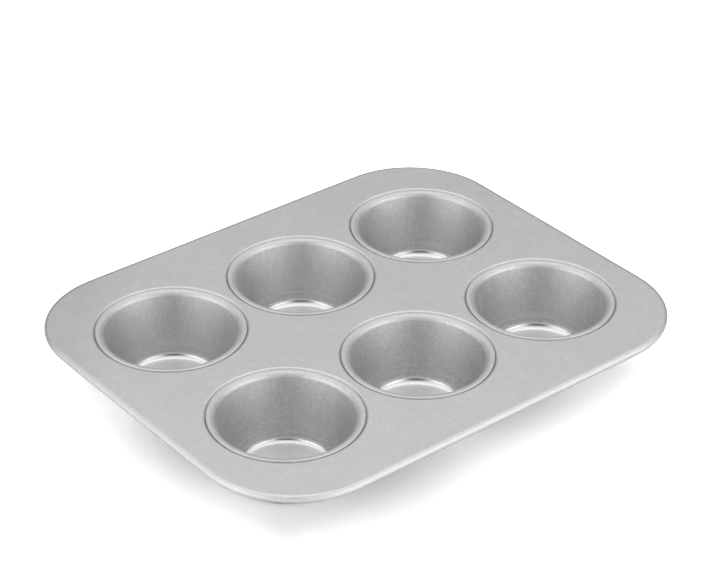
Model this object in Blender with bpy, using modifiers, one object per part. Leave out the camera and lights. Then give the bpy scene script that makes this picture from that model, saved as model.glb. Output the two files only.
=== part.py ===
"""Six-cup muffin pan: a sheet-steel plate with a rolled, wired rim and six drawn cups seamed into it.

The pan stands on the floors of its cups. Metres, +Z up, +X along the row of three cups,
origin on the table under the middle of the pan.
"""

import math

import bmesh
import bpy
from mathutils import Vector

# Sheet metal
SHEET = 0.0007            # thickness of the plate and of the cups
CLEARANCE = 0.0003        # gap between neighbouring sheets, and round the wire in the rolled rim

# Flat of the plate, seen from above
COLUMNS = ("left", "middle", "right")
ROWS = ("front", "back")
HOLE_RADIUS = 0.04935     # inner face of the collar round each hole
LAND_ALONG = 0.0028       # flat between the bends of two holes, along a row
LAND_ACROSS = 0.0183      # flat between the bends of two holes, from row to row
END_MARGIN = 0.0182       # flat from the last hole's bend to the rolled rim, at the short ends
SIDE_MARGIN = 0.0291      # the same, at the long sides
CORNER_RADIUS = 0.0643    # outside corners of the rim

# Rolled rim
BEAD_RADIUS = 0.0028      # outside of the roll
CURL_GAP = 0.0012         # from the edge of the curl up to the underside of the plate
WIRE_BUTT_GAP = 0.002     # between the two ends of the wire, at the middle of the back

# Collar turned down round each hole
COLLAR_BEND = 0.0022      # radius of the bend from the plate into the collar, on the upper face
COLLAR_STRAIGHT = 0.0023  # upright part of the collar, below the bend

# Cups
CUP_DEPTH = 0.0445        # from the top of the plate to the upper face of the floor
CUP_DRAFT = 15.0          # slope of the wall, in degrees from upright
FLOOR_FILLET = 0.006      # between the wall and the floor, inside the cup
LIP_RADIUS = 0.004        # between the wall and the flange
FLANGE_FLAT = 0.0005      # flat band of the flange, level with the plate
FLANGE_ROLL = 0.001       # outer edge of the flange, where it turns down into the seam
HOOK_OVERLAP = 0.0016     # how far the cup's edge comes back up outside the collar

# Facets
ROUND_STEPS = 30          # round a cup and round its hole
CORNER_STEPS = 8          # round a corner of the rim
CURL_TOP_STEPS = 2        # over the outer quarter of the roll, down to its outermost line
CURL_UNDER_STEPS = 5      # from there round the underside to the edge of the curl
WIRE_STEPS = 2            # of the wire's bevel, which gives it eight sides
MERGE = 0.00001           # vertices closer than this are one

# Worked out from the above
PLATE_TOP = SHEET + CUP_DEPTH
BEND_START = HOLE_RADIUS + COLLAR_BEND
PITCH_ALONG = 2 * BEND_START + LAND_ALONG
PITCH_ACROSS = 2 * BEND_START + LAND_ACROSS
PAN_LENGTH = (len(COLUMNS) - 1) * PITCH_ALONG + 2 * (BEND_START + END_MARGIN + BEAD_RADIUS)
PAN_WIDTH = (len(ROWS) - 1) * PITCH_ACROSS + 2 * (BEND_START + SIDE_MARGIN + BEAD_RADIUS)
CORE_X = PAN_LENGTH / 2 - CORNER_RADIUS    # the corners' centres lie at plus and minus these
CORE_Y = PAN_WIDTH / 2 - CORNER_RADIUS
ROLL_CENTRE = CORNER_RADIUS - BEAD_RADIUS  # distance of the roll's centre line from the core
CURL_UNDER_ANGLE = 180 + math.degrees(math.asin((BEAD_RADIUS - SHEET - CURL_GAP) / BEAD_RADIUS))
CURL_STEP_ANGLE = max(90 / CURL_TOP_STEPS, CURL_UNDER_ANGLE / CURL_UNDER_STEPS)
ROLL_BORE = (BEAD_RADIUS - SHEET) * math.cos(math.radians(CURL_STEP_ANGLE / 2))
WIRE_RADIUS = ROLL_BORE - CLEARANCE
COLLAR_END = PLATE_TOP - COLLAR_BEND - COLLAR_STRAIGHT
CUP_OUTER_RADIUS = HOLE_RADIUS - CLEARANCE
LIP_RUN = LIP_RADIUS * math.tan(math.radians(90 - CUP_DRAFT) / 2)  # from the lip's corner to its end
CUP_MOUTH_RADIUS = CUP_OUTER_RADIUS - FLANGE_ROLL - FLANGE_FLAT - LIP_RUN
CUP_FLOOR_RADIUS = CUP_MOUTH_RADIUS - CUP_DEPTH * math.tan(math.radians(CUP_DRAFT))
HOOK_WIDTH = SHEET + 2 * CLEARANCE         # the collar and its two gaps fit inside the cup's hook

PLATE_FINISH = ((0.55, 0.55, 0.55), 0.42)  # colour and roughness
CUP_FINISH = ((0.52, 0.52, 0.52), 0.36)
WIRE_FINISH = ((0.45, 0.46, 0.47), 0.5)
SHARP_ANGLE = 50.0        # edges that turn by more than this many degrees are shaded sharp


def clear_scene():
    for item in list(bpy.data.objects):
        bpy.data.objects.remove(item, do_unlink=True)


def metal(name, finish):
    """A bare metal with the given colour and roughness."""
    colour, roughness = finish
    material = bpy.data.materials.new(name)
    material.use_nodes = True
    shader = material.node_tree.nodes["Principled BSDF"]
    shader.inputs["Base Color"].default_value = (*colour, 1.0)
    shader.inputs["Metallic"].default_value = 1.0
    shader.inputs["Roughness"].default_value = roughness
    return material


def place(name, data, parent, location=(0, 0, 0)):
    """A named object for a sub-part, held by the pan's empty."""
    item = bpy.data.objects.new(name, data)
    item.location = location
    item.parent = parent
    parent.users_collection[0].objects.link(item)
    return item


def arc(centre, radius, start, end, steps):
    """Points of an arc, its two ends included. Angles are in degrees."""
    turn = (end - start) / steps
    return [
        Vector((
            centre[0] + radius * math.cos(math.radians(start + turn * k)),
            centre[1] + radius * math.sin(math.radians(start + turn * k)),
        ))
        for k in range(steps + 1)
    ]


def bent_line(corners):
    """A profile through corner points (r, z, radius, steps), with an arc in each corner that has a radius."""
    points = []
    for k, (r, z, radius, steps) in enumerate(corners):
        here = Vector((r, z))
        if not radius:
            points.append(here)
            continue
        back = (Vector(corners[k - 1][:2]) - here).normalized()
        ahead = (Vector(corners[k + 1][:2]) - here).normalized()
        half = back.angle(ahead) / 2
        centre = here + (back + ahead).normalized() * radius / math.sin(half)
        first = here + back * radius / math.tan(half) - centre
        last = here + ahead * radius / math.tan(half) - centre
        start = math.degrees(math.atan2(first.y, first.x))
        end = math.degrees(math.atan2(last.y, last.x))
        end += 360 * round((start - end) / 360)
        points += arc(centre, radius, start, end, steps)
    return [p for k, p in enumerate(points) if k == 0 or (p - points[k - 1]).length > MERGE]


def rim_loop(distance):
    """The rim's path seen from above, at a distance from the core, from the back and round by the left."""
    signs = ((-1, 1), (-1, -1), (1, -1), (1, 1))
    points = []
    for k, (side, far) in enumerate(signs):
        start = 90 * (k + 1)
        points += arc((side * CORE_X, far * CORE_Y), distance, start, start + 90, CORNER_STEPS)
    return points


def add_loop(bm, points, z):
    """A closed loop of edges. Returns the edges."""
    verts = [bm.verts.new((p.x, p.y, z)) for p in points]
    return [bm.edges.new((a, b)) for a, b in zip(verts, verts[1:] + verts[:1])]


def core_point(point, centre, half_x, half_y):
    """The point of the core rectangle nearest to a point, both seen from above."""
    x = min(max(point.x, centre[0] - half_x), centre[0] + half_x)
    y = min(max(point.y, centre[1] - half_y), centre[1] + half_y)
    return Vector((x, y))


def bend_edge(bm, loop, profile, centre=(0, 0), half_x=0.0, half_y=0.0):
    """Extrudes a loop of the sheet's edge along a profile of (distance from the core, z)."""
    for distance, z in profile:
        made = bmesh.ops.extrude_edge_only(bm, edges=loop)["geom"]
        verts = {v for v in made if isinstance(v, bmesh.types.BMVert)}
        for v in verts:
            core = core_point(v.co, centre, half_x, half_y)
            outward = (v.co.xy - core).normalized()
            v.co = (*(core + outward * distance), z)
        edges = (e for e in made if isinstance(e, bmesh.types.BMEdge))
        loop = [e for e in edges if set(e.verts) <= verts]


def cup_centres():
    """Name and place of each cup."""
    for j, row in enumerate(ROWS):
        for i, column in enumerate(COLUMNS):
            x = (i - (len(COLUMNS) - 1) / 2) * PITCH_ALONG
            y = (j - (len(ROWS) - 1) / 2) * PITCH_ACROSS
            yield f"cup_{row}_{column}", x, y


def thicken(item):
    """Gives a sheet surface its thickness, on the side that its faces look away from."""
    solid = item.modifiers.new("sheet", "SOLIDIFY")
    solid.thickness = SHEET
    solid.offset = -1.0
    solid.use_even_offset = True
    solid.use_quality_normals = True


def plate_mesh():
    """The upper face of the plate: flat, with a rolled rim and a collar turned down round each hole."""
    bm = bmesh.new()
    rim = add_loop(bm, rim_loop(ROLL_CENTRE), PLATE_TOP)
    holes = []
    for _, x, y in cup_centres():
        ring = arc((x, y), BEND_START, 0, 360, ROUND_STEPS)[:-1]
        holes.append(((x, y), add_loop(bm, ring, PLATE_TOP)))
    every_edge = rim + [e for _, loop in holes for e in loop]
    bmesh.ops.triangle_fill(bm, use_beauty=True, use_dissolve=False, edges=every_edge, normal=(0, 0, 1))

    roll_centre = (ROLL_CENTRE, PLATE_TOP - BEAD_RADIUS)
    roll = arc(roll_centre, BEAD_RADIUS, 90, 0, CURL_TOP_STEPS)
    roll += arc(roll_centre, BEAD_RADIUS, 0, -CURL_UNDER_ANGLE, CURL_UNDER_STEPS)[1:]
    bend_edge(bm, rim, roll[1:], half_x=CORE_X, half_y=CORE_Y)
    collar = bent_line([
        (BEND_START, PLATE_TOP, 0, 0),
        (HOLE_RADIUS, PLATE_TOP, COLLAR_BEND, 2),
        (HOLE_RADIUS, COLLAR_END, 0, 0),
    ])
    for centre, loop in holes:
        bend_edge(bm, loop, collar[1:], centre)

    bmesh.ops.recalc_face_normals(bm, faces=bm.faces)
    flat = max(bm.faces, key=lambda face: face.calc_area())
    if flat.normal.z < 0:
        bmesh.ops.reverse_faces(bm, faces=bm.faces)
    mesh = bpy.data.meshes.new("pan_plate")
    bm.to_mesh(mesh)
    bm.free()
    mesh.shade_smooth()
    mesh.set_sharp_from_angle(angle=math.radians(SHARP_ANGLE))
    mesh.materials.append(metal("aluminised_plate", PLATE_FINISH))
    return mesh


def cup_profile():
    """Half section of a cup's upper face, from the middle of its floor to the end of its hook."""
    hook_floor = COLLAR_END - CLEARANCE - HOOK_WIDTH / 2
    hook_outer = CUP_OUTER_RADIUS + HOOK_WIDTH
    return bent_line([
        (0.0, SHEET, 0, 0),
        (CUP_FLOOR_RADIUS, SHEET, FLOOR_FILLET, 3),
        (CUP_MOUTH_RADIUS, PLATE_TOP, LIP_RADIUS, 2),
        (CUP_OUTER_RADIUS, PLATE_TOP, FLANGE_ROLL, 2),
        (CUP_OUTER_RADIUS, hook_floor, HOOK_WIDTH / 2, 1),
        (hook_outer, hook_floor, HOOK_WIDTH / 2, 1),
        (hook_outer, COLLAR_END + HOOK_OVERLAP, 0, 0),
    ])


def cup_mesh():
    """The profile as a chain of edges at +X, for a Screw modifier to turn."""
    profile = cup_profile()
    mesh = bpy.data.meshes.new("cup_profile")
    chain = [(k, k + 1) for k in range(len(profile) - 1)]
    mesh.from_pydata([(p.x, 0.0, p.y) for p in profile], chain, [])
    mesh.materials.append(metal("aluminised_cup", CUP_FINISH))
    return mesh


def turn(item):
    """Turns a profile round its own Z axis."""
    screw = item.modifiers.new("turned", "SCREW")
    screw.axis = "Z"
    screw.angle = 2 * math.pi
    screw.steps = screw.render_steps = ROUND_STEPS
    screw.use_merge_vertices = True
    screw.merge_threshold = MERGE
    screw.use_smooth_shade = True


def wire_curve():
    """The rim's wire: one rod bent to the rim's path, its ends butted at the middle of the back."""
    curve = bpy.data.curves.new("rim_wire", "CURVE")
    curve.dimensions = "3D"
    curve.bevel_depth = WIRE_RADIUS
    curve.bevel_resolution = WIRE_STEPS
    curve.use_fill_caps = True
    back = CORE_Y + ROLL_CENTRE
    ends = [Vector((side * WIRE_BUTT_GAP / 2, back)) for side in (-1, 1)]
    path = [ends[0], *rim_loop(ROLL_CENTRE), ends[1]]
    spline = curve.splines.new("POLY")
    spline.points.add(len(path) - 1)
    for point, p in zip(spline.points, path):
        point.co = (p.x, p.y, PLATE_TOP - BEAD_RADIUS, 1.0)
    curve.materials.append(metal("galvanised_wire", WIRE_FINISH))
    return curve


def main():
    clear_scene()
    collection = bpy.data.collections.new("muffin_pan")
    bpy.context.scene.collection.children.link(collection)
    pan = bpy.data.objects.new("muffin_pan", None)
    collection.objects.link(pan)

    plate = place("pan_plate", plate_mesh(), pan)
    thicken(plate)

    profile = cup_mesh()
    for name, x, y in cup_centres():
        cup = place(name, profile, pan, (x, y, 0))
        turn(cup)
        thicken(cup)

    place("rim_wire", wire_curve(), pan)


main()
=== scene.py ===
"""Looks of the six-cup muffin pan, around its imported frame.

The plate and the cups are made again here with fine bends, and stand for their CAD nodes.
Metres, in the frame's own axes: +X along a row of cups, +Z up, the table at zero.
"""

import math

import bmesh
import bpy
from mathutils import Matrix, Vector


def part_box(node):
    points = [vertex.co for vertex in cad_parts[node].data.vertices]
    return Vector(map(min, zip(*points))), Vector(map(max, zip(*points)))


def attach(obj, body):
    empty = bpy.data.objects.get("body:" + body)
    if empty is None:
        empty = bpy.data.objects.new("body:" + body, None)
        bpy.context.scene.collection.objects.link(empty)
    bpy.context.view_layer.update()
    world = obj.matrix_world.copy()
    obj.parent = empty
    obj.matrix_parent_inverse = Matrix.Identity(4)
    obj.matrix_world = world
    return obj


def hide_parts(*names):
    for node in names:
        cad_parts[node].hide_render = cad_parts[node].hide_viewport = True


# Camera, as in the photograph
LENS = 118.46                 # on a sensor 36 wide
CAMERA_AZIMUTH = -39.304      # degrees, from straight in front
CAMERA_ELEVATION = 32.129
CAMERA_ROLL = 0.562
CAMERA_DISTANCE = 1.5548      # from the point that it aims at
CAMERA_AIM = (0.0211, 0.02898)  # on the plate's top
CAMERA_REACH = 50             # it sees nothing farther off than this

# Sheet metal
SHEET = 0.0007
CAD_GAP = 0.0003              # between the frame's sheets
SEAM_GAP = 0.00014            # between the sheets of a seam, as pressed
HOOK_WIDTH = SHEET + 2 * SEAM_GAP

# Plate
CORNER_RADIUS = 0.0643
COLLAR_BEND = 0.0018
COLLAR_STRAIGHT = 0.0027
CURL_GAP = 0.0012
FAR_BEND = 0.0065             # the rim's roll starts with this wider radius on its far sides
FAR_BEND_TURN = math.radians(30)
FAR_FULL = 0.5                # and with all of it where the cosine to the camera's back is this or more

# Cups
CUP_DRAFT = math.radians(15)
LIP_RADIUS = 0.004
FLANGE_ROLL = 0.0008
MOUTH_RADIUS = 0.04448        # where wall and plate would meet if the lip were sharp
HOOK_OVERLAP = 0.0016
FLOOR_FILLET = 0.006
TIGHT_FILLETS = {"cup_front_left": 0.0045, "cup_back_left": 0.0052}  # cups drawn a little sharper

# Fineness of the bends
ROUND_STEPS = 160
CORNER_STEPS = 28
BEND_STEPS = 8
FILLET_STEPS = 16
CURL_STEPS = 30
GUARD = 0.0003                # straight strip kept beside each bend, so that shading stays true
MERGE = 0.000001              # vertices closer than this are one
SHARP_ANGLE = math.radians(40)
SEAM_STEEP = 0.6              # faces of a seam take its painted light and shade where their normals rise less than this

# Metal: sizes of its marks in metres, and how strongly each one changes a value
GRAIN_SIZE = 0.0009
BLOTCH_SIZE = 0.006
DRIFT_SIZE = 0.06
GRAIN_TONE = 0.7
BLOTCH_TONE = 0.13
DRIFT_TONE = 0.06
GRAIN_ROUGHNESS = 0.3
BLOTCH_ROUGHNESS = 0.25
DRIFT_ROUGHNESS = 0.15
GRAIN_HEIGHT = 0.00003

# Plate's surface
PLATE_TONE = 0.69
# painted shade: the plate's tone falls to this towards one corner
SHADED_CORNER_TONE = 0.6
SHADED_CORNER = (0.14, 0.19)    # painted shade: the tone falls between these distances from the plate's middle
PLATE_ROUGHNESS = 0.38
EDGE_ROUGHNESS = 0.56         # of the rolled rim and the collars
EDGE_FROM = 0.0001            # they begin between these depths
EDGE_TO = 0.001
COLLAR_LIGHT_TONE = 0.95            # painted light: the plate's steep faces at a seam, lighter than the rest of the plate
FOLD_SHADE_TONE = 0.56              # painted shade: and a cup's, darker, for the shade in the seam's crevice
SEAM_ROUGHNESS = 0.5
WIRE_TONE = 0.5
WIRE_ROUGHNESS = 0.5
SHEET_GRAIN = 0.5             # strength of the grain on plate, seams and wire

# A cup's surface: tone, roughness and grain of each zone
FLOOR_FINISH = (0.87, 0.5, 0.3)
HEEL_FINISH = (0.78, 0.2, 0.3)
WALL_FINISH = (0.62, 0.5, 1.0)
LIP_FINISH = (0.66, 0.52, 0.5)
HEEL_RISE = 0.7               # share of the fillet that is burnished like the floor
LIP_DROP = 0.0036             # the burnished lip reaches this far below the plate's top
HEEL_BLUR = (0.0001, 0.0004)  # the floor runs into the heel between these heights above it
WALL_BLUR = 0.0004            # half the height in which the heel runs into the wall
LIP_BLUR = 0.0008             # and the height in which the wall runs into the lip
STREAK_SIZE = 0.0022          # of the upright streaks on the wall
STREAK_LENGTH = 12            # in widths
STREAKS = 0.16                # and how strong they are
RING_SIZE = 0.0014            # of the rings low on the wall
RING_LENGTH = 25
RINGS = 0.4
RING_FROM = 0.008             # they fade between these heights
RING_TO = 0.02
FOOT_FROM = 0.6               # streaks and rings begin from this share of the fillet's height
SPECK_CUP = "cup_front_middle"
SPECK = (0.0353, -0.0024, 0.0113)  # a dark speck on its wall, from the cup's axis
SPECK_RADIUS = 0.0005
SPECK_TONE = 0.2

# Studio. Azimuths are counted from the camera's, in degrees.
BOX_AZIMUTH = 58              # of the softboxes, one on each side of the camera
BOX_ELEVATION = 18
BOX_DISTANCE = 1.6
BOX_WIDTH = 2.2
BOX_HEIGHT = 1.1
RIGHT_BOX = 1.15              # radiance
LEFT_BOX = 1.05
TOP_ELEVATION = 76            # of the softbox overhead, a little behind the pan
TOP_DISTANCE = 1.3
TOP_WIDTH = 1.9
TOP_HEIGHT = 0.95
TOP_BOX = 0.2
ROOM_HIGH = 1.0               # radiance of the room's ceiling
ROOM_FRONT = 0.85             # of its walls, on the camera's side
ROOM_HORIZON = 0.35           # and behind the pan, low down
ROOM_BEHIND = 0.2             # higher up there
ROOM_TURN = (-0.6, 0.3)       # one side runs into the other between these cosines from the camera
HORIZON_FROM = 6              # the low part runs into the higher one between these elevations
HORIZON_TO = 20
CEILING_FROM = 10             # the walls run into the ceiling between these elevations
CEILING_TO = 51
SHADE_ELEVATION = 32          # of the middle of the camera's shade
SHADE_INSIDE = 2              # full shade within this angle, none beyond the next
SHADE_OUTSIDE = 38
SHADE_LIGHT = 0.1             # share of light left in the shade

# Floor of the studio
FLOOR_SIZE = 4                # from its middle to its edges
FLOOR_DROP = 0.0002           # it lies this far under the cups, so that no faces coincide
FLOOR_MATT = 0.9              # roughness
FLOOR_UNDER_SHADE = 0.3             # how it lights the pan from underneath, darkened there as painted shade
FLOOR_AROUND = 0.95           # from around it
FLOOR_BEHIND_SHADE = 0.1            # and from behind, darkened there as painted shade
LIGHT_EDGE = (-0.03, 0.03)    # the painted shade under runs into around between these distances past the pan's outline
LIGHT_DEPTH = (-0.2, 0.05)    # the painted shade behind runs into around between these places towards the camera
FLOOR_SEEN = 2.35             # how it looks, overexposed as in the photograph
FLOOR_SEEN_SHADOW = 1.85       # painted shadow: how it looks under the pan
SHADOW_EDGE = (-0.045, -0.015)  # the painted shadow runs into the rest between these distances past the outline
CORNER_SHADOW = 0.8            # painted shadow: share of that at the pan's near corner
CORNER_AZIMUTH = -15          # where that corner lies
CORNER_FADE = (0.05, 0.14)    # the painted shadow darkens the floor to it between these distances from the pan's middle
LEFT_PAINTED_LIGHT = 1.04             # painted light: share to the pan's left
RIGHT_PAINTED_SHADE = 0.94            # painted shade: and to its right
SIDE_FADE = (-0.2, 0.2)       # the one runs into the other between these places

WHITE = (1.0, 1.0, 1.0, 1.0)


def towards(azimuth, elevation):
    """Unit vector from the pan towards a place. Its azimuth is counted from the camera's."""
    a = math.radians(CAMERA_AZIMUTH + azimuth)
    e = math.radians(elevation)
    return Vector((math.sin(a) * math.cos(e), -math.cos(a) * math.cos(e), math.sin(e)))


def arc(centre, radius, start, end, steps):
    """Points of an arc, its two ends included. Angles are in radians."""
    turn = (end - start) / steps
    return [
        Vector(centre) + radius * Vector((math.cos(start + turn * k), math.sin(start + turn * k)))
        for k in range(steps + 1)
    ]


def bent_line(corners):
    """A profile through corner points (r, z, radius, steps), with an arc and two guards at each."""
    points = []
    for k, (r, z, radius, steps) in enumerate(corners):
        here = Vector((r, z))
        if not radius:
            points.append(here)
            continue
        back = (Vector(corners[k - 1][:2]) - here).normalized()
        ahead = (Vector(corners[k + 1][:2]) - here).normalized()
        half = back.angle(ahead) / 2
        centre = here + (back + ahead).normalized() * radius / math.sin(half)
        run = radius / math.tan(half)
        first = here + back * run - centre
        last = here + ahead * run - centre
        start = math.atan2(first.y, first.x)
        end = math.atan2(last.y, last.x)
        end += 2 * math.pi * round((start - end) / (2 * math.pi))
        points.append(here + back * (run + GUARD))
        points += arc(centre, radius, start, end, steps)
        points.append(here + ahead * (run + GUARD))
    return points


def new_piece(name, mesh, slot, *nodes, location=(0, 0, 0)):
    """A visible piece that rides on the pan and stands for CAD nodes."""
    piece = bpy.data.objects.new(name, mesh)
    piece.location = location
    bpy.context.scene.collection.objects.link(piece)
    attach(piece, "root")
    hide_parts(*nodes)
    return piece


def thicken(piece):
    """Gives a surface the sheet's thickness, on its lower side."""
    solid = piece.modifiers.new("sheet", "SOLIDIFY")
    solid.thickness = SHEET
    solid.offset = -1.0
    solid.use_even_offset = True
    solid.use_quality_normals = True


def smooth(mesh):
    """Shades the bends smooth, and keeps sharp edges sharp."""
    mesh.shade_smooth()
    mesh.set_sharp_from_angle(angle=SHARP_ANGLE)


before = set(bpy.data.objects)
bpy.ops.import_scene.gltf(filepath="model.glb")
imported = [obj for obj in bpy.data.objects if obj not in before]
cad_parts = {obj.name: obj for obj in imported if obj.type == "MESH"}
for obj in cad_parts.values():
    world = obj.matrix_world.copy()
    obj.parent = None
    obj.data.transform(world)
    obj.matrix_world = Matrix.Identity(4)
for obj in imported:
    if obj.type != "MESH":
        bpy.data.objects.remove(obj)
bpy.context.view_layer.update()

PLATE_LOW, PLATE_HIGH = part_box("pan_plate")
PLATE_TOP = PLATE_HIGH.z
BEAD_RADIUS = (PLATE_HIGH.z - PLATE_LOW.z) / 2
CORE_X = PLATE_HIGH.x - CORNER_RADIUS
CORE_Y = PLATE_HIGH.y - CORNER_RADIUS
CUP_NODES = [name for name in sorted(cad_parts) if name.startswith("cup_")]
CUP_CENTRES = {name: sum(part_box(name), Vector()) / 2 for name in CUP_NODES}
HOOK_OUTSIDE = (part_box(CUP_NODES[0])[1].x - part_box(CUP_NODES[0])[0].x) / 2
SEAM_RADIUS = HOOK_OUTSIDE - 2 * SHEET - CAD_GAP * 1.5  # middle of the gap inside the collar
CUP_OUTER_RADIUS = SEAM_RADIUS - SEAM_GAP / 2
HOLE_RADIUS = SEAM_RADIUS + SEAM_GAP / 2
BEND_START = HOLE_RADIUS + COLLAR_BEND
COLLAR_END = PLATE_TOP - COLLAR_BEND - COLLAR_STRAIGHT
CUP_DEPTH = PLATE_TOP - SHEET
CUP_FLOOR_RADIUS = MOUTH_RADIUS - CUP_DEPTH * math.tan(CUP_DRAFT)


# Shapes
def rim_loop(distance):
    """The rim's path seen from above, at a distance from the core rectangle."""
    points = []
    for k, (side, far) in enumerate(((-1, 1), (-1, -1), (1, -1), (1, 1))):
        start = math.pi / 2 * (k + 1)
        points += arc((side * CORE_X, far * CORE_Y), distance, start, start + math.pi / 2, CORNER_STEPS)
    return points


def add_loop(bm, points, z):
    """A closed loop of edges at a height."""
    verts = [bm.verts.new((p.x, p.y, z)) for p in points]
    return [bm.edges.new(pair) for pair in zip(verts, verts[1:] + verts[:1])]


def rim_roll(start_radius):
    """The rolled rim's profile (distance from the core, z), for the radius that its roll starts with."""
    turn = FAR_BEND_TURN
    radius = (2 * BEAD_RADIUS - start_radius * (1 - math.cos(turn))) / (1 + math.cos(turn))
    centre = CORNER_RADIUS - radius
    height = PLATE_TOP - 2 * BEAD_RADIUS + radius
    start = centre - (start_radius - radius) * math.sin(turn)
    top, bottom = math.pi / 2, -math.pi / 2
    curl_end = -math.pi - math.asin((BEAD_RADIUS - SHEET - CURL_GAP) / BEAD_RADIUS)
    profile = [Vector((start - GUARD, PLATE_TOP))]
    profile += arc((start, PLATE_TOP - start_radius), start_radius, top, top - turn, BEND_STEPS)
    profile += arc((centre, height), radius, top - turn, bottom, CURL_STEPS)[1:]
    profile += arc((centre, PLATE_TOP - BEAD_RADIUS), BEAD_RADIUS, bottom, curl_end, CURL_STEPS // 2)[1:]
    return profile


def bend_edge(bm, loop, profile, far_profile, centre=(0, 0), half_x=0.0, half_y=0.0):
    """Extrudes a loop of the sheet's edge along a profile of (distance from the core, z).

    The profile runs into the far one where the edge faces away from the camera.
    """
    away = towards(180, 0).xy
    for point, far_point in zip(profile, far_profile):
        made = bmesh.ops.extrude_edge_only(bm, edges=loop)["geom"]
        verts = {v for v in made if isinstance(v, bmesh.types.BMVert)}
        for v in verts:
            core = Vector((
                min(max(v.co.x, centre[0] - half_x), centre[0] + half_x),
                min(max(v.co.y, centre[1] - half_y), centre[1] + half_y),
            ))
            outward = (v.co.xy - core).normalized()
            share = min(max(outward.dot(away) / FAR_FULL, 0), 1)
            distance, z = point.lerp(far_point, share)
            v.co = (*(core + outward * distance), z)
        edges = (e for e in made if isinstance(e, bmesh.types.BMEdge))
        loop = [e for e in edges if set(e.verts) <= verts]


def mark_painted_seam(bm, centres, start, end):
    """Gives the second material to the steep faces in a ring round each centre: painted light on the
    plate's collars, painted shade on the cups' folds.
    """
    for face in bm.faces:
        middle = face.calc_center_median().xy
        near = min((middle - centre.xy).length for centre in centres)
        if start < near < end and abs(face.normal.z) < SEAM_STEEP:
            face.material_index = 1


def plate_mesh():
    """The plate's upper face, with its rolled rim and a collar round each hole.

    A collar's first two points lie on its hole's own loop, so the bend starts from the third.
    """
    bm = bmesh.new()
    near_roll = rim_roll(BEAD_RADIUS)
    far_roll = rim_roll(FAR_BEND)
    rim = add_loop(bm, rim_loop(far_roll[0].x - GUARD), PLATE_TOP)
    holes = []
    for centre in CUP_CENTRES.values():
        ring = arc(centre.xy, BEND_START + GUARD, 0, 2 * math.pi, ROUND_STEPS)[:-1]
        holes.append((centre, add_loop(bm, ring, PLATE_TOP)))
    edges = rim + [e for _, loop in holes for e in loop]
    bmesh.ops.triangle_fill(bm, use_beauty=True, use_dissolve=False, edges=edges, normal=(0, 0, 1))

    bend_edge(bm, rim, near_roll, far_roll, half_x=CORE_X, half_y=CORE_Y)
    collar = bent_line([
        (BEND_START + GUARD, PLATE_TOP, 0, 0),
        (HOLE_RADIUS, PLATE_TOP, COLLAR_BEND, BEND_STEPS),
        (HOLE_RADIUS, COLLAR_END, 0, 0),
    ])
    for centre, loop in holes:
        bend_edge(bm, loop, collar[2:], collar[2:], centre.xy)

    bmesh.ops.recalc_face_normals(bm, faces=bm.faces)
    if max(bm.faces, key=lambda face: face.calc_area()).normal.z < 0:
        bmesh.ops.reverse_faces(bm, faces=bm.faces)
    mark_painted_seam(bm, CUP_CENTRES.values(), 0, BEND_START)
    mesh = bpy.data.meshes.new("plate_sheet")
    bm.to_mesh(mesh)
    bm.free()
    smooth(mesh)
    return mesh


def cup_mesh(name, fillet):
    """A cup's upper face, turned round its own axis."""
    hook_centre = (CUP_OUTER_RADIUS + HOOK_WIDTH / 2, COLLAR_END - SEAM_GAP)
    profile = bent_line([
        (0.0, SHEET, 0, 0),
        (CUP_FLOOR_RADIUS, SHEET, fillet, FILLET_STEPS),
        (MOUTH_RADIUS, PLATE_TOP, LIP_RADIUS, BEND_STEPS * 2),
        (CUP_OUTER_RADIUS, PLATE_TOP, FLANGE_ROLL, BEND_STEPS),
        (CUP_OUTER_RADIUS, hook_centre[1] + GUARD, 0, 0),
    ])
    profile += arc(hook_centre, HOOK_WIDTH / 2, math.pi, 2 * math.pi, BEND_STEPS)
    profile.append(Vector((CUP_OUTER_RADIUS + HOOK_WIDTH, COLLAR_END + HOOK_OVERLAP)))
    bm = bmesh.new()
    verts = [bm.verts.new((p.x, 0, p.y)) for p in profile]
    edges = [bm.edges.new(pair) for pair in zip(verts, verts[1:])]
    bmesh.ops.spin(
        bm, geom=verts + edges, axis=(0, 0, 1), angle=2 * math.pi, steps=ROUND_STEPS, use_merge=True
    )
    bmesh.ops.remove_doubles(bm, verts=bm.verts, dist=MERGE)
    bmesh.ops.recalc_face_normals(bm, faces=bm.faces)
    floor = min(bm.faces, key=lambda face: face.calc_center_median().xy.length)
    if floor.normal.z < 0:
        bmesh.ops.reverse_faces(bm, faces=bm.faces)
    mark_painted_seam(bm, [Vector()], CUP_OUTER_RADIUS - FLANGE_ROLL, HOOK_OUTSIDE)
    mesh = bpy.data.meshes.new(name)
    bm.to_mesh(mesh)
    bm.free()
    smooth(mesh)
    return mesh


# Materials
def math_node(nodes, links, operation, *values):
    """A calculation with numbers and sockets."""
    node = nodes.new("ShaderNodeMath")
    node.operation = operation
    for socket, value in zip(node.inputs, values):
        if isinstance(value, (int, float)):
            socket.default_value = value
        else:
            links.new(value, socket)
    return node.outputs[0]


def ramp(nodes, links, value, low, high, to_low, to_high):
    """Maps a value from low..high to to_low..to_high, with soft ends and held past them."""
    node = nodes.new("ShaderNodeMapRange")
    node.interpolation_type = "SMOOTHSTEP"
    for socket, number in zip(node.inputs[1:5], (low, high, to_low, to_high)):
        socket.default_value = number
    links.new(value, node.inputs[0])
    return node.outputs[0]


def dot(nodes, links, vector, direction):
    """How far a vector reaches in a direction."""
    node = nodes.new("ShaderNodeVectorMath")
    node.operation = "DOT_PRODUCT"
    node.inputs[1].default_value = direction
    links.new(vector, node.inputs[0])
    return node.outputs["Value"]


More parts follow.
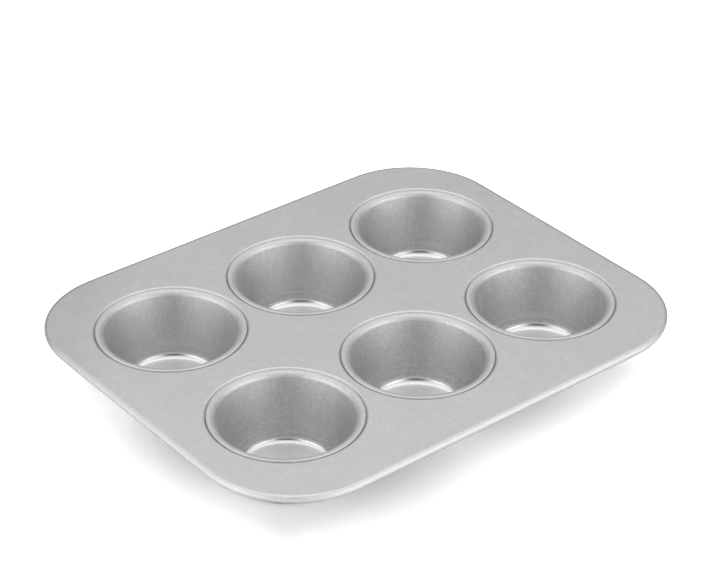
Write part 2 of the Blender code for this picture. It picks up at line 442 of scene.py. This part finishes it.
def noise(nodes, links, place, size, seed, detail=2.0):
    """Noise about zero, with features of a size in metres."""
    node = nodes.new("ShaderNodeTexNoise")
    node.noise_dimensions = "4D"
    node.inputs["W"].default_value = seed
    node.inputs["Scale"].default_value = 1 / size
    node.inputs["Detail"].default_value = detail
    links.new(place, node.inputs["Vector"])
    return math_node(nodes, links, "SUBTRACT", node.outputs["Fac"], 0.5)


def varied(nodes, links, base, *parts):
    """A base value, times one plus each noise times its strength."""
    total = 1.0
    for value, strength in parts:
        total = math_node(nodes, links, "MULTIPLY_ADD", value, strength, total)
    return math_node(nodes, links, "MULTIPLY", total, base)


def steel(name, seed, tone, roughness, grain):
    """Aluminised steel: a grey with grain, blotches and a slow drift of tone over the sheet.

    Tone, roughness and grain are functions of the surface, which is handed to them as a dictionary.
    """
    material = bpy.data.materials.new(name)
    material.use_nodes = True
    nodes, links = material.node_tree.nodes, material.node_tree.links
    shader = nodes["Principled BSDF"]
    shader.inputs["Metallic"].default_value = 1.0
    place = nodes.new("ShaderNodeTexCoord").outputs["Object"]
    height = dot(nodes, links, place, (0, 0, 1))
    fine = noise(nodes, links, place, GRAIN_SIZE, seed, detail=3.0)
    blotch = noise(nodes, links, place, BLOTCH_SIZE, seed + 1)
    drift = noise(nodes, links, place, DRIFT_SIZE, seed + 2, detail=1.0)
    surface = {"nodes": nodes, "links": links, "place": place, "height": height, "seed": seed}
    tone, rough, relief = tone(surface), roughness(surface), grain(surface)
    speckle = math_node(nodes, links, "MULTIPLY", fine, relief)
    grey = varied(nodes, links, tone, (speckle, GRAIN_TONE), (blotch, BLOTCH_TONE), (drift, DRIFT_TONE))
    links.new(grey, shader.inputs["Base Color"])
    parts = (fine, GRAIN_ROUGHNESS), (blotch, BLOTCH_ROUGHNESS), (drift, DRIFT_ROUGHNESS)
    links.new(varied(nodes, links, rough, *parts), shader.inputs["Roughness"])
    bump = nodes.new("ShaderNodeBump")
    bump.inputs["Distance"].default_value = GRAIN_HEIGHT
    links.new(speckle, bump.inputs["Height"])
    links.new(bump.outputs[0], shader.inputs["Normal"])
    return material


def even(value):
    """The same value all over a surface."""
    return lambda surface: value


def plate_tone_and_shade(surface):
    """The plate's grey, with painted shade that darkens it towards one corner."""
    nodes, links = surface["nodes"], surface["links"]
    towards_corner = dot(nodes, links, surface["place"], Vector((-1, 1, 0)).normalized())
    return ramp(nodes, links, towards_corner, *SHADED_CORNER, PLATE_TONE, SHADED_CORNER_TONE)


def plate_roughness(surface):
    """The plate's roughness, which is greater where its edges are bent down."""
    low, high = PLATE_TOP - EDGE_TO, PLATE_TOP - EDGE_FROM
    nodes, links = surface["nodes"], surface["links"]
    return ramp(nodes, links, surface["height"], low, high, EDGE_ROUGHNESS, PLATE_ROUGHNESS)


def stretched(nodes, links, place, scale):
    """A place with its axes scaled, which draws the marks out along the shortened ones."""
    node = nodes.new("ShaderNodeVectorMath")
    node.operation = "MULTIPLY"
    node.inputs[1].default_value = scale
    links.new(place, node.inputs[0])
    return node.outputs[0]


def drawn(zones, speck):
    """A cup's zones of tone, with the streaks and rings of drawing on its wall, and perhaps a speck."""
    def value(surface):
        nodes, links, place, height = (surface[key] for key in ("nodes", "links", "place", "height"))
        upright = stretched(nodes, links, place, (1, 1, 1 / STREAK_LENGTH))
        streak = noise(nodes, links, upright, STREAK_SIZE, surface["seed"] + 3)
        round_wall = stretched(nodes, links, place, (1 / RING_LENGTH, 1 / RING_LENGTH, 1))
        ring = noise(nodes, links, round_wall, RING_SIZE, surface["seed"] + 4, detail=1.0)
        low = ramp(nodes, links, height, RING_FROM, RING_TO, 1, 0)
        foot = ramp(nodes, links, height, FLOOR_FILLET * FOOT_FROM, FLOOR_FILLET, 0, 1)
        streak = math_node(nodes, links, "MULTIPLY", streak, foot)
        ring = math_node(nodes, links, "MULTIPLY", ring, low)
        ring = math_node(nodes, links, "MULTIPLY", ring, foot)
        tone = varied(nodes, links, zones(surface), (streak, STREAKS), (ring, RINGS))
        if not speck:
            return tone
        away = nodes.new("ShaderNodeVectorMath")
        away.operation = "DISTANCE"
        away.inputs[1].default_value = SPECK
        links.new(place, away.inputs[0])
        spot = ramp(nodes, links, away.outputs["Value"], 0, SPECK_RADIUS * 2, SPECK_TONE, 1)
        return math_node(nodes, links, "MULTIPLY", tone, spot)
    return value


def cup_zones(fillet, floor, heel, wall, lip):
    """A value for each zone of a cup, from its floor up. The wall begins part of the way up the fillet."""
    wall_from = SHEET + fillet * HEEL_RISE
    lip_from = PLATE_TOP - LIP_DROP
    steps = (
        (SHEET + HEEL_BLUR[0], SHEET + HEEL_BLUR[1], heel - floor),
        (wall_from - WALL_BLUR, wall_from + WALL_BLUR, wall - heel),
        (lip_from, lip_from + LIP_BLUR, lip - wall),
    )

    def value(surface):
        nodes, links = surface["nodes"], surface["links"]
        total = floor
        for low, high, change in steps:
            step = ramp(nodes, links, surface["height"], low, high, 0, 1)
            total = math_node(nodes, links, "MULTIPLY_ADD", step, change, total)
        return total
    return value


# Studio
def softbox(name, azimuth, elevation, distance, width, height, radiance):
    """An area lamp that faces the pan."""
    back = towards(azimuth, elevation)
    lamp = bpy.data.lights.new(name, "AREA")
    lamp.shape = "RECTANGLE"
    lamp.size = width
    lamp.size_y = height
    lamp.energy = radiance * math.pi * width * height
    item = bpy.data.objects.new(name, lamp)
    item.location = Vector((0, 0, PLATE_TOP)) + back * distance
    item.rotation_euler = back.to_track_quat("Z", "Y").to_euler()
    bpy.context.scene.collection.objects.link(item)


def studio():
    """Three softboxes in a pale room, which the camera itself sees as plain white."""
    softbox("right_box", BOX_AZIMUTH, BOX_ELEVATION, BOX_DISTANCE, BOX_WIDTH, BOX_HEIGHT, RIGHT_BOX)
    softbox("left_box", -BOX_AZIMUTH, BOX_ELEVATION, BOX_DISTANCE, BOX_WIDTH, BOX_HEIGHT, LEFT_BOX)
    softbox("top_box", 180, TOP_ELEVATION, TOP_DISTANCE, TOP_WIDTH, TOP_HEIGHT, TOP_BOX)

    world = bpy.data.worlds.new("studio")
    bpy.context.scene.world = world
    world.use_nodes = True
    nodes, links = world.node_tree.nodes, world.node_tree.links
    room = nodes["Background"]
    room.inputs["Color"].default_value = WHITE
    direction = nodes.new("ShaderNodeTexCoord").outputs["Generated"]
    front = dot(nodes, links, direction, towards(0, 0))
    high = dot(nodes, links, direction, (0, 0, 1))

    def level(start, end, below, above):
        """Runs from one value to another between two elevations."""
        low, top = (math.sin(math.radians(angle)) for angle in (start, end))
        return ramp(nodes, links, high, low, top, below, above)

    behind = level(HORIZON_FROM, HORIZON_TO, ROOM_HORIZON, ROOM_BEHIND)
    to_front = ramp(nodes, links, front, *ROOM_TURN, 0, 1)
    rise = math_node(nodes, links, "SUBTRACT", ROOM_FRONT, behind)
    walls = math_node(nodes, links, "MULTIPLY_ADD", to_front, rise, behind)
    rise = math_node(nodes, links, "SUBTRACT", ROOM_HIGH, walls)
    to_ceiling = level(CEILING_FROM, CEILING_TO, 0, 1)
    strength = math_node(nodes, links, "MULTIPLY_ADD", to_ceiling, rise, walls)
    aim = dot(nodes, links, direction, towards(0, SHADE_ELEVATION))
    edge = math.cos(math.radians(SHADE_OUTSIDE))
    core = math.cos(math.radians(SHADE_INSIDE))
    shade = ramp(nodes, links, aim, edge, core, 1, SHADE_LIGHT)
    links.new(math_node(nodes, links, "MULTIPLY", strength, shade), room.inputs["Strength"])
    seen = nodes.new("ShaderNodeBackground")
    seen.inputs["Color"].default_value = WHITE
    path = nodes.new("ShaderNodeLightPath")
    mix = nodes.new("ShaderNodeMixShader")
    links.new(path.outputs["Is Camera Ray"], mix.inputs["Fac"])
    links.new(room.outputs[0], mix.inputs[1])
    links.new(seen.outputs[0], mix.inputs[2])
    links.new(mix.outputs[0], nodes["World Output"].inputs["Surface"])


def beyond_pan(nodes, links, place):
    """How far a place on the floor lies outside the pan's outline. It is negative under the pan."""
    side = nodes.new("ShaderNodeVectorMath")
    side.operation = "ABSOLUTE"
    links.new(place, side.inputs[0])
    parts = nodes.new("ShaderNodeSeparateXYZ")
    links.new(side.outputs[0], parts.inputs[0])
    past_x = math_node(nodes, links, "SUBTRACT", parts.outputs["X"], PLATE_HIGH.x)
    past_y = math_node(nodes, links, "SUBTRACT", parts.outputs["Y"], PLATE_HIGH.y)
    return math_node(nodes, links, "MAXIMUM", past_x, past_y)


def floor():
    """A plain floor, with one shader for the light that it throws on the pan, which has painted shade
    under and behind the pan, and one for its looks, which has a painted shadow under the pan and at its
    near corner, and painted light and shade to its sides.
    """
    mesh = bpy.data.meshes.new("floor")
    bm = bmesh.new()
    bmesh.ops.create_grid(bm, x_segments=1, y_segments=1, size=FLOOR_SIZE)
    bm.to_mesh(mesh)
    bm.free()
    item = bpy.data.objects.new("floor", mesh)
    item.location.z = -FLOOR_DROP
    bpy.context.scene.collection.objects.link(item)

    material = bpy.data.materials.new("floor")
    material.use_nodes = True
    nodes, links = material.node_tree.nodes, material.node_tree.links
    lit = nodes["Principled BSDF"]
    place = nodes.new("ShaderNodeTexCoord").outputs["Object"]
    outside = beyond_pan(nodes, links, place)
    # painted shade: the floor is darker under the pan and behind it, for the light that it throws on the
    # pan
    around = ramp(nodes, links, outside, *LIGHT_EDGE, FLOOR_UNDER_SHADE, FLOOR_AROUND)
    front = dot(nodes, links, place, towards(0, 0))
    behind = ramp(nodes, links, front, *LIGHT_DEPTH, FLOOR_BEHIND_SHADE / FLOOR_AROUND, 1)
    links.new(math_node(nodes, links, "MULTIPLY", around, behind), lit.inputs["Base Color"])
    lit.inputs["Roughness"].default_value = FLOOR_MATT
    seen = nodes.new("ShaderNodeBsdfDiffuse")
    # painted shadow: the floor looks darker under the pan and towards its near corner
    bright = ramp(nodes, links, outside, *SHADOW_EDGE, FLOOR_SEEN_SHADOW, FLOOR_SEEN)
    near = dot(nodes, links, place, towards(CORNER_AZIMUTH, 0))
    corner = ramp(nodes, links, near, *CORNER_FADE, 1, CORNER_SHADOW)
    bright = math_node(nodes, links, "MULTIPLY", bright, corner)
    # painted light to the pan's left, painted shade to its right
    side = dot(nodes, links, place, towards(90, 0))
    slant = ramp(nodes, links, side, *SIDE_FADE, LEFT_PAINTED_LIGHT, RIGHT_PAINTED_SHADE)
    links.new(math_node(nodes, links, "MULTIPLY", bright, slant), seen.inputs["Color"])
    path = nodes.new("ShaderNodeLightPath")
    mix = nodes.new("ShaderNodeMixShader")
    links.new(path.outputs["Is Camera Ray"], mix.inputs["Fac"])
    links.new(lit.outputs[0], mix.inputs[1])
    links.new(seen.outputs[0], mix.inputs[2])
    links.new(mix.outputs[0], nodes["Material Output"].inputs["Surface"])
    mesh.materials.append(material)


def camera():
    """The camera at the photograph's place."""
    a = math.radians(CAMERA_AZIMUTH)
    e = math.radians(CAMERA_ELEVATION)
    data = bpy.data.cameras.new("camera")
    data.lens = LENS
    data.sensor_width = 36
    data.clip_end = CAMERA_REACH
    item = bpy.data.objects.new("camera", data)
    item.location = Vector((*CAMERA_AIM, PLATE_TOP)) + towards(0, CAMERA_ELEVATION) * CAMERA_DISTANCE
    turned = Matrix.Rotation(a, 3, "Z") @ Matrix.Rotation(math.pi / 2 - e, 3, "X")
    turned = turned @ Matrix.Rotation(math.radians(CAMERA_ROLL), 3, "Z")
    item.rotation_euler = turned.to_euler()
    bpy.context.scene.collection.objects.link(item)
    bpy.context.scene.camera = item


plate = new_piece("plate_sheet", plate_mesh(), "plate", "pan_plate")
thicken(plate)
grain, seam_roughness = even(SHEET_GRAIN), even(SEAM_ROUGHNESS)
plate.data.materials.append(steel("plate_steel", 5.0, plate_tone_and_shade, plate_roughness, grain))
# painted light on the plate's collars
plate.data.materials.append(steel("collar_light_steel", 85.0, even(COLLAR_LIGHT_TONE), seam_roughness, grain))
# painted shade on the cups' folds, where the seam's crevice is in shade
fold_shade_steel = steel("fold_shade_steel", 90.0, even(FOLD_SHADE_TONE), seam_roughness, grain)

for number, (node, centre) in enumerate(CUP_CENTRES.items()):
    fillet = TIGHT_FILLETS.get(node, FLOOR_FILLET)
    mesh = cup_mesh(node, fillet)
    shell = new_piece(node + "_shell", mesh, "cups", node, location=(*centre.xy, 0))
    thicken(shell)
    tone, roughness, cup_grain = (
        cup_zones(fillet, *values) for values in zip(FLOOR_FINISH, HEEL_FINISH, WALL_FINISH, LIP_FINISH)
    )
    tone = drawn(tone, node == SPECK_CUP)
    shell.data.materials.append(steel(node + "_steel", 10.0 * (number + 1), tone, roughness, cup_grain))
    shell.data.materials.append(fold_shade_steel)

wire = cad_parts["rim_wire"]
wire.data.materials.clear()
wire.data.materials.append(steel("wire_steel", 80.0, even(WIRE_TONE), even(WIRE_ROUGHNESS), grain))

floor()
studio()
camera()
bpy.context.scene.view_settings.view_transform = "Standard"
